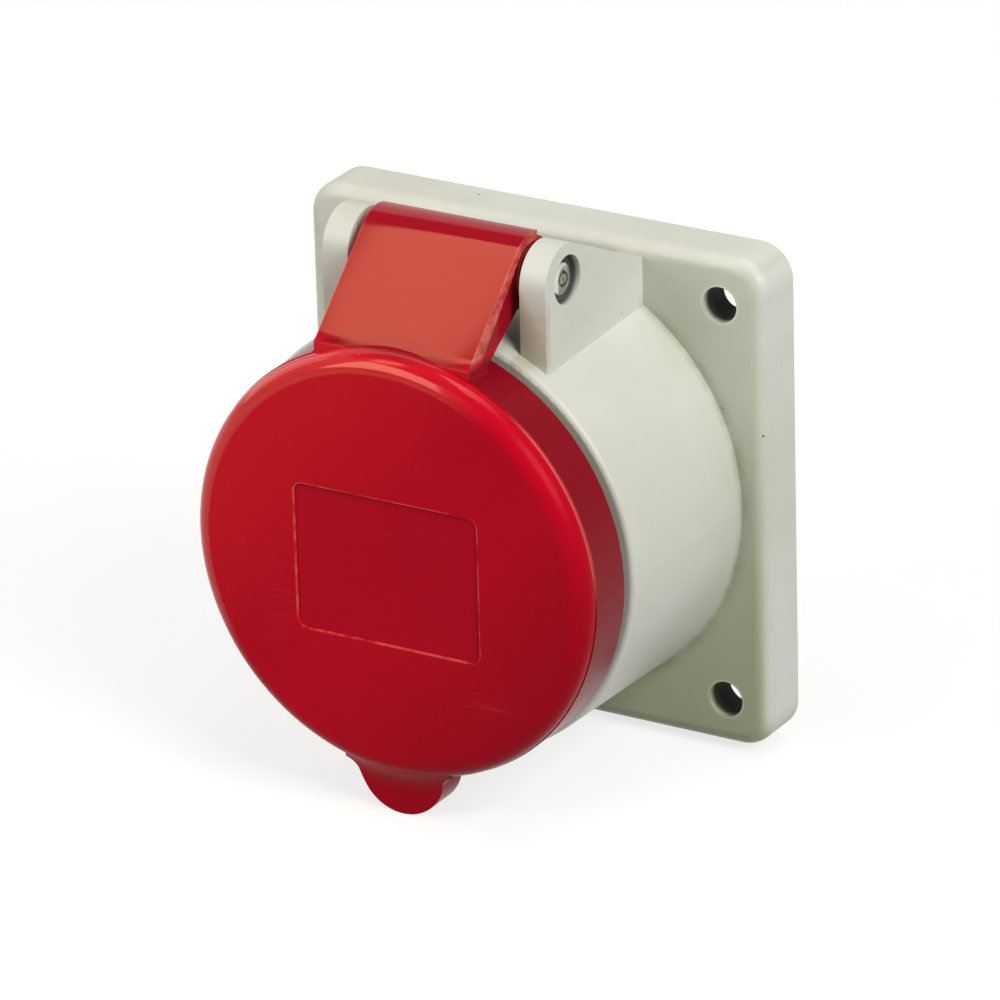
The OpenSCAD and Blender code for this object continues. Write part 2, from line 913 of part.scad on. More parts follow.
housing();
front_insert();
rear_insert();
contact_l1();
contact_l2();
contact_l3();
contact_earth();
spring_ring_l1();
spring_ring_l2();
spring_ring_l3();
spring_ring_earth();
phase_clamp_screws();
earth_clamp_screw();
centre_screw();
insert_screws();
insert_seal();
panel_seal();
hinge_pin();
hinge_spring();
lid();
lid_seal();
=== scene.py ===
import json
import math

import bpy
import numpy as np
from mathutils import Matrix, Vector


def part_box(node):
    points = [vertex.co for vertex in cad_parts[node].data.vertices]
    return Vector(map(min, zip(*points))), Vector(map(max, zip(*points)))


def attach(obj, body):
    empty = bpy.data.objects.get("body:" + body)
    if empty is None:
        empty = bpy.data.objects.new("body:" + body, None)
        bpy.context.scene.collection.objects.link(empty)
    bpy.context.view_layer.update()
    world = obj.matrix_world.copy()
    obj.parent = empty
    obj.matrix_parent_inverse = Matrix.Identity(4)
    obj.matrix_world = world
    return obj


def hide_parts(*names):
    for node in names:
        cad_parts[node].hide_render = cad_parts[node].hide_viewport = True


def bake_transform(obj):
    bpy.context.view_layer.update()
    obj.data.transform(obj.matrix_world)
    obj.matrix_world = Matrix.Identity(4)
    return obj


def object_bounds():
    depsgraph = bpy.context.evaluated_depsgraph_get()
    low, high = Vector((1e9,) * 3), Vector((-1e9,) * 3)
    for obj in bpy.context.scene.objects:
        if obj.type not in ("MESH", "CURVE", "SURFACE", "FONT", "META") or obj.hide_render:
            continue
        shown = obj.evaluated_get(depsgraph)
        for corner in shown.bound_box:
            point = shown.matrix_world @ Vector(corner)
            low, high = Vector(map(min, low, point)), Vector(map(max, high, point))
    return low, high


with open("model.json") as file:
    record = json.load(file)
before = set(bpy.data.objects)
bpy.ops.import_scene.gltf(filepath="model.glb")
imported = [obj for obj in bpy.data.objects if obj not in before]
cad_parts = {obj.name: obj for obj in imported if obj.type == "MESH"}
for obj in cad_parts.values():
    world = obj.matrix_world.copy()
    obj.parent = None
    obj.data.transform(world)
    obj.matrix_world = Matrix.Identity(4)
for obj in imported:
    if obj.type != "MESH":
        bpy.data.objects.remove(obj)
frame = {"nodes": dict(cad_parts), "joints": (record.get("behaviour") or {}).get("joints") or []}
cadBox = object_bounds()
scene = bpy.context.scene
print("frame loaded:", len(frame["nodes"]), "nodes")

hinge = Vector(next(j for j in frame["joints"] if j["name"] == "lid_hinge")["pos_m"])
lidFront = float(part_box("lid")[0][1])


# ---- colours and the shader class

def tone(red, green, blue):
    # screen values 0-255 turned into the linear values that the shaders take
    values = [c / 255 for c in (red, green, blue)]
    return tuple(c / 12.92 if c <= 0.04045 else ((c + 0.055) / 1.055) ** 2.4
                 for c in values) + (1.0,)


class Wire:
    # one socket of a material; arithmetic on it adds the Math nodes
    def __init__(self, paint, socket):
        self.paint = paint
        self.socket = socket

    def calc(self, operation, *values):
        return self.paint.node("Math", {"operation": operation}, dict(enumerate(values)))

    def __add__(self, other):
        return self.calc("ADD", self, other)

    def __radd__(self, other):
        return self.calc("ADD", other, self)

    def __sub__(self, other):
        return self.calc("SUBTRACT", self, other)

    def __rsub__(self, other):
        return self.calc("SUBTRACT", other, self)

    def __mul__(self, other):
        return self.calc("MULTIPLY", self, other)

    def __rmul__(self, other):
        return self.calc("MULTIPLY", other, self)

    def __truediv__(self, other):
        return self.calc("DIVIDE", self, other)

    def __pow__(self, other):
        return self.calc("POWER", self, other)

    def __abs__(self):
        return self.calc("ABSOLUTE", self)

    def above(self, edge):
        return self.calc("GREATER_THAN", self, edge)

    def most(self, other):
        return self.calc("MAXIMUM", self, other)

    def least(self, other):
        return self.calc("MINIMUM", self, other)

    def ease(self, start, end):
        # 0 at start and 1 at end, smooth between; start may be the larger
        if start > end:
            return 1 - self.ease(end, start)
        return self.paint.node("MapRange", {"interpolation_type": "SMOOTHSTEP"},
                               {"Value": self, "From Min": start, "From Max": end})


class Paint:
    # the node tree of one material
    def __init__(self, name):
        self.material = bpy.data.materials.new(name)
        self.material.use_nodes = True
        self.tree = self.material.node_tree
        self.tree.nodes.clear()
        self.place = self.node("TexCoord", out="Object")
        self.x, self.y, self.z = self.parts(self.place)

    def node(self, kind, settings=None, sockets=None, out=0):
        made = self.tree.nodes.new("ShaderNode" + kind)
        for key, value in (settings or {}).items():
            if key == "stops":
                while len(made.color_ramp.elements) < len(value):
                    made.color_ramp.elements.new(0.5)
                for stop, (at, colour) in zip(made.color_ramp.elements, value):
                    stop.position = at
                    stop.color = colour
            else:
                setattr(made, key, value)
        for key, value in (sockets or {}).items():
            if isinstance(value, Wire):
                self.tree.links.new(value.socket, made.inputs[key])
            else:
                made.inputs[key].default_value = value
        return Wire(self, made.outputs[out]) if made.outputs else None

    def parts(self, vector):
        first = self.node("SeparateXYZ", sockets={0: vector})
        return [Wire(self, output) for output in first.socket.node.outputs]

    def mix(self, first, second, factor, blend="MIX"):
        return self.node("Mix", {"data_type": "RGBA", "blend_type": blend},
                         {0: factor, 6: first, 7: second}, out=2)

    def noise(self, scale, detail=2.0, rough=0.5, stretch=None, turn=(0, 0, 0)):
        where = self.place
        if stretch:
            where = self.node("Mapping", sockets={"Vector": where, "Rotation": turn,
                                                  "Scale": stretch})
        return self.node("TexNoise", sockets={"Vector": where, "Scale": scale, "Detail": detail,
                                              "Roughness": rough})

    def specks(self, scale, radius, share):
        # a dot in a share of the cells of a cell pattern, each with its own size
        cell = self.node("TexVoronoi", sockets={"Vector": self.place, "Scale": scale})
        chance = self.parts(Wire(self, cell.socket.node.outputs["Color"]))[0]
        size = radius * (0.3 + chance)
        return (size - cell).above(0.0) * chance.above(1 - share)

    def scratches(self, angle, density, stretch=60.0, scale=900.0):
        # thin streaks where a noise drawn out along one direction across the front passes its
        # middle value
        streak = self.noise(scale, 1.0, 0.4, (1.0 / stretch, 1.0, 1.0), (0.0, angle, 0.0))
        thin = abs(streak - 0.5).ease(0.012, 0.0)
        return thin * self.noise(70.0, 1.0).ease(1 - density, 1.08 - density)

    def bump(self, height, depth, normal=None):
        # height 0 to 1 times depth in metres
        sockets = {"Height": height, "Distance": depth, "Strength": 1.0}
        if normal:
            sockets["Normal"] = normal
        return self.node("Bump", sockets=sockets)

    def shader(self, **sockets):
        names = {key.replace("_", " "): value for key, value in sockets.items()}
        return self.node("BsdfPrincipled", sockets=names)

    def finish(self, **sockets):
        self.node("OutputMaterial", sockets={"Surface": self.shader(**sockets)})
        return self.material


# ---- finishes

housingLook = {
    "fresh": tone(211, 213, 205),
    "aged": tone(203, 204, 190),
    "pale": tone(222, 223, 218),
    # painted shade: the darker, greener tone of the flange's front face and of its lower part
    "front": tone(190, 195, 172),
    "frontLowShade": tone(172, 186, 138),
    # painted shade where the collar meets the flange
    "footShade": tone(112, 106, 82),
    "earFrontTone": tone(172, 166, 134),
    "shade": tone(26, 24, 20),
    "speck": tone(70, 64, 52),
    "roughness": 0.40,
    "flangeFront": -0.0085,    # metres, the flange's front face
    "collarRadius": 0.033,
    "holeAt": 0.030,           # the fixing holes stand this far out in X and Z
    "holeRadius": 0.00265,
    "recessRadius": 0.00355,   # the round recess at each end of the hinge pin
    "earSide": 0.0178,
    "earFront": -0.0344,
}


def makeHousingPlastic(look):
    paint = Paint("housingPlastic")
    x, y, z = paint.x, paint.y, paint.z
    radius = (x * x + z * z) ** 0.5
    cloud = paint.noise(38.0, 3.0, 0.55)
    mottle = paint.noise(420.0, 4.0, 0.6)
    grain = paint.noise(3400.0, 2.0, 0.5)
    flow = paint.noise(55.0, 3.0, 0.6, (1.0, 0.25, 2.2), (0.0, 0.5, 0.0))
    colour = paint.mix(look["fresh"], look["aged"], cloud.ease(0.35, 0.72) * 0.8)
    colour = paint.mix(colour, look["pale"], flow.ease(0.5, 0.75) * 0.35)
    colour = paint.mix(colour, tone(190, 191, 180), mottle.ease(0.55, 0.85) * 0.25)

    # painted shade: the flange's front is painted a darker, slightly greener tone, and darker and
    # greener still towards the bottom, under the collar
    frontShadeMask = y.ease(look["flangeFront"] - 0.0002, look["flangeFront"] + 0.0001)
    frontShadeMask = frontShadeMask * radius.ease(look["collarRadius"] + 0.0001, look["collarRadius"] + 0.0004)
    inwards = abs(x).most(abs(z)).ease(0.0366, 0.0352)
    frontShadeMask = frontShadeMask * inwards * x.ease(-0.036, -0.012)
    colour = paint.mix(colour, look["front"], frontShadeMask * 0.6)
    colour = paint.mix(colour, look["frontLowShade"], frontShadeMask * z.ease(0.012, -0.026) * 0.75)

    # painted shade: darker where the collar meets the flange; the ears' fronts are painted darker
    # and tan towards the bottom, more on the right ear
    front = look["flangeFront"]
    ragged = paint.noise(210.0, 3.0, 0.6).ease(0.35, 0.7)
    footShadeMask = radius.ease(look["collarRadius"] + 0.0022, look["collarRadius"] + 0.0001)
    footShadeMask = footShadeMask * y.ease(front - 0.0016, front - 0.0002) * (0.25 + 0.75 * ragged)
    colour = paint.mix(colour, look["footShade"], footShadeMask * 0.34)
    # the ears' fronts are painted darker and tan towards the bottom, more on the right ear
    onEar = abs(x).ease(0.0132, 0.0136) * abs(x).ease(0.0183, 0.0178) * z.ease(0.0275, 0.0285)
    earFrontLower = onEar * y.ease(look["earFront"] + 0.0008, look["earFront"]) * z.ease(0.0400, 0.0340)
    earFrontLower = earFrontLower * (0.35 + 0.65 * x.ease(-0.004, 0.004)) * (0.6 + 0.4 * ragged)
    colour = paint.mix(colour, look["earFrontTone"], earFrontLower * 0.62)

    # painted shade: the insides of the fixing holes and of the pin's recesses are painted dark
    outX, outZ = abs(x) - look["holeAt"], abs(z) - look["holeAt"]
    fromHole = (outX * outX + outZ * outZ) ** 0.5
    hole = fromHole.ease(look["holeRadius"] + 0.00016, look["holeRadius"] + 0.00004)
    hole = hole * y.ease(front + 0.0001, front + 0.0016)
    besideY, besideZ = y - hinge.y, z - hinge.z
    fromPin = (besideY * besideY + besideZ * besideZ) ** 0.5
    recess = fromPin.ease(look["recessRadius"] + 0.0001, look["recessRadius"] + 0.00002)
    recess = recess * abs(x).ease(look["earSide"] - 0.0001, look["earSide"] - 0.0011)
    recess = recess * abs(x).ease(look["earSide"] - 0.0030, look["earSide"] - 0.0024)
    holeShade = (hole * 0.94).most(recess * 0.86)
    colour = paint.mix(colour, look["shade"], holeShade)
    # painted highlight: a pale ring round each fixing hole's edge on the flange's front
    holeEdgeHighlight = abs(fromHole - look["holeRadius"] - 0.00022).ease(0.00016, 0.00004)
    holeEdgeHighlight = holeEdgeHighlight * y.ease(front + 0.0004, front + 0.0001)
    colour = paint.mix(colour, tone(236, 237, 230), holeEdgeHighlight * 0.5)

    dark = paint.specks(330.0, 0.055, 0.10)
    colour = paint.mix(colour, look["speck"], dark * 0.75)
    scuff = paint.scratches(0.7, 0.36).most(paint.scratches(-1.1, 0.33))
    colour = paint.mix(colour, tone(232, 233, 229), scuff * 0.35)

    rough = look["roughness"] + 0.10 * (mottle - 0.5) + 0.06 * (grain - 0.5) + 0.12 * scuff
    rough = rough + footShadeMask * 0.2 + holeShade * 0.35
    normal = paint.bump(grain, 0.0000015)
    normal = paint.bump(flow, 0.00006, normal)
    normal = paint.bump(1 - scuff, 0.000008, normal)
    return paint.finish(Base_Color=colour, Roughness=rough, Normal=normal,
                        Specular_IOR_Level=0.42)


lidLook = {
    "red": tone(192, 8, 34),
    "deep": tone(178, 6, 34),
    # painted light towards the top left and painted shade towards the bottom right
    "paintedLight": tone(208, 26, 38),
    "shaded": tone(150, 6, 30),
    "wall": tone(124, 6, 26),
    # the colour of the painted edge highlights, also of the light scuffs
    "wearAndHighlight": tone(238, 120, 112),
    "nick": tone(244, 200, 190),
    "inPanel": tone(182, 8, 40),
    "armShade": tone(152, 8, 30),
    "roughness": 0.26,
    "specular": 0.10,
    "polishSpecular": 0.62,
    "faceFront": lidFront,
    "panel": (0.0147, 0.0109, 0.0015, -0.0004),  # half width, half height, corner, middle
    "armHalf": 0.0123,
    "armMiddle": 0.0372,
    "armFrom": 0.0305,         # height above which the lid is hinge arm
    "armSlope": 0.68,          # rise of the arm's plate over its length
    "wallRadius": 0.0325,      # just outside the lid's side wall
    "rimInner": 0.0287,        # radius at which the face starts to round over
    "armCrown": 3.2,           # how fast the arm's plate turns away from its middle, 1/metres
    "bodyTint": (1.0, 0.34, 0.30, 1.0),
    "polishTint": (1.0, 0.52, 0.36, 1.0),
    "polishRough": 0.10,
    "crownEdge": (0.03155, -0.0468),   # radius and place of the edge behind the rounded rim
}


def makeLidPlastic(look):
    paint = Paint("lidPlastic")
    x, y, z = paint.x, paint.y, paint.z
    radius = (x * x + z * z) ** 0.5
    cloud = paint.noise(42.0, 3.0, 0.55)
    mottle = paint.noise(500.0, 3.0, 0.6)
    grain = paint.noise(2600.0, 2.0, 0.5)
    wave = paint.noise(95.0, 1.0, 0.4)
    flow = paint.noise(90.0, 3.0, 0.6, (1.0, 1.0, 0.3))
    # painted light and shade: lighter and more orange towards the top left, darker towards the
    # bottom right and on the side wall
    colour = paint.mix(look["red"], look["deep"], cloud.ease(0.4, 0.75) * 0.5)
    towardsTopLeft = z - x + 0.012 * (flow - 0.5)
    colour = paint.mix(colour, look["paintedLight"], towardsTopLeft.ease(0.004, 0.040) * 0.9)
    colour = paint.mix(colour, look["shaded"], towardsTopLeft.ease(-0.006, -0.046) * 0.7)
    edgeRadius, edgeAt = look["crownEdge"]
    behindRim = y.ease(edgeAt - 0.0002, edgeAt + 0.0003)
    # painted shade: the lid's side wall is painted a darker red
    sideWall = behindRim * radius.ease(look["wallRadius"] + 0.001, look["wallRadius"])
    colour = paint.mix(colour, look["wall"], sideWall * 0.9)

    # signed distance to the sunk panel's rounded outline: length of what is past the corner's
    # middle, less the corner's radius
    halfWide, halfHigh, corner, middle = look["panel"]
    pastX = abs(x) - (halfWide - corner)
    pastZ = abs(z - middle) - (halfHigh - corner)
    outX, outZ = pastX.most(0.0), pastZ.most(0.0)
    edge = (outX * outX + outZ * outZ) ** 0.5 + pastX.most(pastZ).least(0.0) - corner
    onFace = y.ease(look["faceFront"] + 0.0009, look["faceFront"] + 0.0006)
    brokenUp = paint.noise(330.0, 3.0, 0.65).ease(0.36, 0.60)
    # painted highlight: a thin, broken lighter line along the panel's outline
    outlineHighlight = abs(edge - 0.00005).ease(0.00014, 0.00003) * onFace * (0.08 + 0.92 * brokenUp)
    inside = edge.ease(0.0, -0.0002) * onFace
    colour = paint.mix(colour, look["inPanel"], inside * 0.6)

    # painted highlights: thin lighter lines on the arm's long edges and, towards the upper right,
    # on the edge behind the rounded rim
    armEdgeHighlight = abs(abs(x) - look["armHalf"]).ease(0.00016, 0.00002)
    armEdgeHighlight = armEdgeHighlight * z.ease(look["armFrom"] + 0.0005, look["armFrom"] + 0.0015)
    armEdgeHighlight = armEdgeHighlight * (0.3 + 0.7 * brokenUp)
    crownEdge = abs(radius - edgeRadius).ease(0.00022, 0.00006)
    crownEdge = crownEdge * abs(y - edgeAt).ease(0.00034, 0.00012)
    highlightSpan = x.ease(0.014, 0.022) * z.ease(-0.002, 0.007) * z.ease(0.027, 0.022)
    wearAndHighlight = (outlineHighlight * 0.75).most(armEdgeHighlight).most(crownEdge * highlightSpan)
    colour = paint.mix(colour, look["wearAndHighlight"], wearAndHighlight * 0.7)

    nick = paint.specks(260.0, 0.035, 0.16) * paint.noise(60.0, 1.0).ease(0.45, 0.6)
    colour = paint.mix(colour, look["nick"], nick * 0.7)
    scuff = paint.scratches(0.5, 0.34).most(paint.scratches(-0.8, 0.32))
    colour = paint.mix(colour, look["wearAndHighlight"], scuff * 0.07)

    # painted shade: the arm is painted a darker red than the rest of the lid, and its edge
    # highlight is painted again over it
    onArm = z.ease(look["armFrom"], look["armFrom"] + 0.0015)
    colour = paint.mix(colour, look["armShade"], onArm * 0.9)
    colour = paint.mix(colour, look["wearAndHighlight"], armEdgeHighlight * 0.7)

    # the arm and the top of the rounded rim are polished by use
    rounded = radius.ease(look["rimInner"], look["rimInner"] + 0.0003)
    rounded = rounded * y.ease(edgeAt + 0.0001, edgeAt - 0.0004)
    gloss = onArm.most(rounded * towardsTopLeft.ease(0.006, 0.020) * 0.9)
    rough = look["roughness"] + 0.06 * (mottle - 0.5) + 0.04 * (grain - 0.5)
    rough = rough + 0.16 * scuff + 0.12 * nick
    # the arm's plate is crowned a little, so that its gloss has an edge
    up = (z - look["armMiddle"]) / look["armSlope"]
    crown = (x * x + up * up) * (-0.5 * look["armCrown"]) * onArm
    normal = paint.bump(grain, 0.0000004)
    normal = paint.bump(wave, 0.00004, normal)
    normal = paint.bump(crown, 1.0, normal)
    normal = paint.bump(1 - scuff.most(nick), 0.000006, normal)
    body = paint.shader(Base_Color=colour, Roughness=rough, Normal=normal,
                        Specular_IOR_Level=look["specular"], Specular_Tint=look["bodyTint"])
    polished = paint.shader(Base_Color=colour, Normal=normal,
                            Roughness=look["polishRough"] + 0.16 * scuff,
                            Specular_IOR_Level=look["polishSpecular"],
                            Specular_Tint=look["polishTint"])
    both = paint.node("MixShader", sockets={0: gloss, 1: body, 2: polished})
    paint.node("OutputMaterial", sockets={"Surface": both})
    return paint.material


insertLook = {"dark": tone(44, 45, 47), "light": tone(66, 67, 68), "roughness": 0.46}


def makeInsertPlastic(look):
    paint = Paint("insertPlastic")
    fibre = paint.noise(1800.0, 3.0, 0.6, (1.0, 0.12, 1.0), (0.3, 0.0, 0.6))
    cloud = paint.noise(120.0, 3.0, 0.55)
    grain = paint.noise(3000.0, 2.0)
    speck = paint.specks(520.0, 0.07, 0.12)
    colour = paint.mix(look["dark"], look["light"], cloud.ease(0.35, 0.7) * 0.6)
    colour = paint.mix(colour, tone(96, 96, 92), fibre.ease(0.62, 0.78) * 0.35)
    colour = paint.mix(colour, tone(150, 146, 136), speck * 0.5)
    rough = look["roughness"] + 0.12 * (cloud - 0.5) + 0.08 * (fibre - 0.5)
    normal = paint.bump(grain, 0.000005)
    normal = paint.bump(fibre, 0.000006, normal)
    return paint.finish(Base_Color=colour, Roughness=rough, Normal=normal,
                        Specular_IOR_Level=0.45)


terminalLook = {"pale": tone(176, 178, 172), "dull": tone(158, 158, 148), "roughness": 0.5}


def makeTerminalPlastic(look):
    paint = Paint("terminalPlastic")
    cloud = paint.noise(90.0, 3.0, 0.55)
    fibre = paint.noise(1500.0, 3.0, 0.6, (0.2, 1.0, 1.0))
    grain = paint.noise(3200.0, 2.0)
    # handling marks gather on the edges of the posts, dust lies towards the back
    back = paint.y.ease(0.004, 0.026)
    marks = paint.noise(260.0, 4.0, 0.7).ease(0.5, 0.75)
    colour = paint.mix(look["pale"], look["dull"], cloud.ease(0.35, 0.7) * 0.8)
    colour = paint.mix(colour, tone(132, 128, 112), marks * back * 0.35)
    colour = paint.mix(colour, tone(60, 56, 48), paint.specks(420.0, 0.06, 0.08) * 0.6)
    rough = look["roughness"] + 0.10 * (cloud - 0.5) + 0.08 * marks
    normal = paint.bump(grain, 0.000005)
    normal = paint.bump(fibre, 0.000006, normal)
    return paint.finish(Base_Color=colour, Roughness=rough, Normal=normal,
                        Specular_IOR_Level=0.42)


rubberLook = {"black": tone(34, 34, 35), "bloom": tone(72, 72, 70), "roughness": 0.68}


def makeSealRubber(look):
    paint = Paint("sealRubber")
    bloom = paint.noise(190.0, 4.0, 0.65)
    pores = paint.noise(2400.0, 2.0)
    colour = paint.mix(look["black"], look["bloom"], bloom.ease(0.42, 0.75) * 0.55)
    colour = paint.mix(colour, tone(120, 116, 104), paint.specks(600.0, 0.08, 0.10) * 0.4)
    rough = look["roughness"] + 0.16 * (bloom - 0.5)
    normal = paint.bump(pores, 0.000012)
    normal = paint.bump(bloom, 0.00003, normal)
    return paint.finish(Base_Color=colour, Roughness=rough, Normal=normal,
                        Specular_IOR_Level=0.35)


def makeMetal(name, look, axis="y"):
    # turned metal: fine rings along the part's own length, tarnish in clouds, small pits
    paint = Paint(name)
    along = {"x": paint.x, "y": paint.y, "z": paint.z}[axis]
    stretch = {"x": (9.0, 1.0, 1.0), "y": (1.0, 9.0, 1.0), "z": (1.0, 1.0, 9.0)}[axis]
    rings = along.calc("SINE", along * (2 * math.pi / look["ringPitch"])) * 0.5 + 0.5
    lines = paint.noise(900.0, 3.0, 0.6, stretch)
    tarnish = paint.noise(230.0, 4.0, 0.6)
    pits = paint.specks(900.0, 0.09, 0.08)
    colour = paint.mix(look["clean"], look["tarnished"], tarnish.ease(0.40, 0.75) * look["age"])
    colour = paint.mix(colour, look["pit"], pits * 0.6)
    rough = look["roughness"] + 0.14 * (lines - 0.5) + 0.18 * (tarnish - 0.5) + 0.1 * pits
    normal = paint.bump(lines, 0.000004)
    normal = paint.bump(rings, look["ringDepth"], normal)
    return paint.finish(Base_Color=colour, Roughness=rough, Normal=normal,
                        Metallic=1.0 - 0.25 * tarnish.ease(0.6, 0.85))


brassLook = {"clean": tone(214, 178, 104), "tarnished": tone(150, 112, 62),
             "pit": tone(84, 62, 38), "age": 0.6, "roughness": 0.30,
             "ringPitch": 0.00016, "ringDepth": 0.0000015}
pinLook = {"clean": tone(214, 214, 206), "tarnished": tone(120, 118, 104),
           "pit": tone(50, 46, 38), "age": 0.8, "roughness": 0.14,
           "ringPitch": 0.00014, "ringDepth": 0.0000012}
screwLook = {"clean": tone(196, 198, 200), "tarnished": tone(168, 160, 132),
             "pit": tone(88, 78, 60), "age": 0.7, "roughness": 0.34,
             "ringPitch": 0.0005, "ringDepth": 0.00005}
springLook = {"clean": tone(178, 180, 182), "tarnished": tone(120, 116, 108),
              "pit": tone(60, 54, 46), "age": 0.6, "roughness": 0.30,
              "ringPitch": 0.0002, "ringDepth": 0.000001}

finishes = {
    "housing_plastic": makeHousingPlastic(housingLook),
    "lid_plastic": makeLidPlastic(lidLook),
    "insert_plastic": makeInsertPlastic(insertLook),
    "terminal_plastic": makeTerminalPlastic(terminalLook),
    "seal_rubber": makeSealRubber(rubberLook),
    "contact_brass": makeMetal("contactBrass", brassLook),
    "pin_steel": makeMetal("pinSteel", pinLook, "x"),
    "screw_steel": makeMetal("screwSteel", screwLook),
    "spring_steel": makeMetal("springSteel", springLook, "x"),
}
nodeFinish = {
    "housing": "housing_plastic", "front_insert": "insert_plastic",
    "rear_insert": "terminal_plastic", "lid": "lid_plastic",
    "insert_seal": "seal_rubber", "panel_seal": "seal_rubber", "lid_seal": "seal_rubber",
    "hinge_pin": "pin_steel", "hinge_spring": "spring_steel",
    "phase_clamp_screws": "screw_steel", "earth_clamp_screw": "screw_steel",
    "centre_screw": "screw_steel", "insert_screws": "screw_steel",
}
for which in ("l1", "l2", "l3", "earth"):
    nodeFinish["contact_" + which] = "contact_brass"
    nodeFinish["spring_ring_" + which] = "spring_steel"
for name, node in frame["nodes"].items():
    node.data.materials.clear()
    node.data.materials.append(finishes[nodeFinish[name]])
print("finishes:", len(finishes))


# ---- pieces

def addMesh(name, points, faces, finish):
    mesh = bpy.data.meshes.new(name)
    mesh.from_pydata(points.tolist(), [], faces.tolist())
    mesh.polygons.foreach_set("use_smooth", np.ones(len(mesh.polygons), bool))
    mesh.materials.append(finishes[finish])
    mesh.update()
    piece = bpy.data.objects.new(name, mesh)
    scene.collection.objects.link(piece)
    return piece


def sweptTube(path, radius, sides):
    # A circle carried along a path. At each point the tangent T is the difference of its
    # neighbours, the side vector S is X minus its part along T, the third is T x S, and the
    # surface point is P + radius (cos a S + sin a T x S). Both ends close on their middles.
    ahead = np.gradient(path, axis=0)
    ahead /= np.linalg.norm(ahead, axis=1)[:, None]
    side = np.array([1.0, 0.02, 0.03]) - ahead * (ahead @ np.array([1.0, 0.02, 0.03]))[:, None]
    side /= np.linalg.norm(side, axis=1)[:, None]
    other = np.cross(ahead, side)
    angle = np.linspace(0, 2 * math.pi, sides, endpoint=False)
    ring = (path[:, None] + radius * (np.cos(angle)[None, :, None] * side[:, None]
                                      + np.sin(angle)[None, :, None] * other[:, None]))
    count = len(path)
    points = np.concatenate([ring.reshape(-1, 3), path[:1], path[-1:]])
    step, turn = np.meshgrid(np.arange(count - 1), np.arange(sides), indexing="ij")
    near = (turn + 1) % sides
    a, b = step * sides + turn, step * sides + near
    walls = np.stack([a, b, b + sides, a, b + sides, a + sides], -1).reshape(-1, 3)
    last = (count - 1) * sides
    j = np.arange(sides)
    k = (j + 1) % sides
    caps = np.concatenate([np.stack([np.full(sides, count * sides), k, j], -1),
                           np.stack([np.full(sides, count * sides + 1), last + j, last + k], -1)])
    return points, np.concatenate([walls, caps])


hingeSpring = {
    "wire": 0.00045,
    "coil": 0.00315,        # radius of the coil's centre line
    "coilHalf": 0.006,
    "turns": 7,
    "fixedLeg": 0.009,      # how far behind the pin the fixed leg ends
    "lidLeg": 0.0406,       # how far ahead the other leg ends
    "lidRadius": 0.0317,
    "sides": 14,
    "stepsPerTurn": 40,
    "collarRadius": 0.033,
    "gap": 0.0003,
}


def touchPoint(point, centre, radius, side):
    # where a line from point touches the circle: the angle of the point's direction, plus or
    # minus the arc cosine of radius over distance
    away = point - centre
    turn = math.atan2(away[1], away[0]) + side * math.acos(radius / np.linalg.norm(away))
    return turn, centre + radius * np.array([math.cos(turn), math.sin(turn)])


def makeHingeSpring(spec):
    # In the plane (ahead, up) the coil is a circle about the hinge that moves evenly along X,
    # P = (X(t), hinge + r (cos t, sin t)); each leg is the tangent to its end, drawn straight.
    centre = np.array([-hinge[1], hinge[2]])
    half, wire = spec["coilHalf"], spec["wire"]
    clear = wire + spec["gap"]
    start = np.array([centre[0] - spec["fixedLeg"],
                      math.sqrt(spec["collarRadius"] ** 2 - half ** 2) + clear])
    end = np.array([spec["lidLeg"], math.sqrt(spec["lidRadius"] ** 2 - half ** 2) + clear])
    turnIn, entering = touchPoint(start, centre, spec["coil"], 1)
    turnOut, leaving = touchPoint(end, centre, spec["coil"], -1)
    total = turnOut + 2 * math.pi - turnIn + 2 * math.pi * spec["turns"]
    count = int(total / (2 * math.pi) * spec["stepsPerTurn"])
    share = np.linspace(0, 1, count)
    turn = turnIn + total * share
    coil = np.stack([half * (2 * share - 1), centre[0] + spec["coil"] * np.cos(turn),
                     centre[1] + spec["coil"] * np.sin(turn)], -1)
    along = np.linspace(0, 1, 12)[:, None]
    first = np.array([-half, *start]) + along[:-1] * (coil[0] - np.array([-half, *start]))
    final = coil[-1] + along[1:] * (np.array([half, *end]) - coil[-1])
    line = np.concatenate([first, coil, final])
    line = line * [1.0, -1.0, 1.0]   # ahead is -Y
    points, faces = sweptTube(line, wire, spec["sides"])
    piece = addMesh("springWire", points, faces[:, ::-1], "spring_steel")
    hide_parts("hinge_spring")
    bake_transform(piece)


pinHead = {
    "radius": 0.00238,
    "rise": 0.00045,
    "dimple": 0.00014,
    "dimpleRadius": 0.0009,
    "end": 0.0168,          # where the pin's flat end stands, in X
    "rings": 18,
    "sides": 48,
}


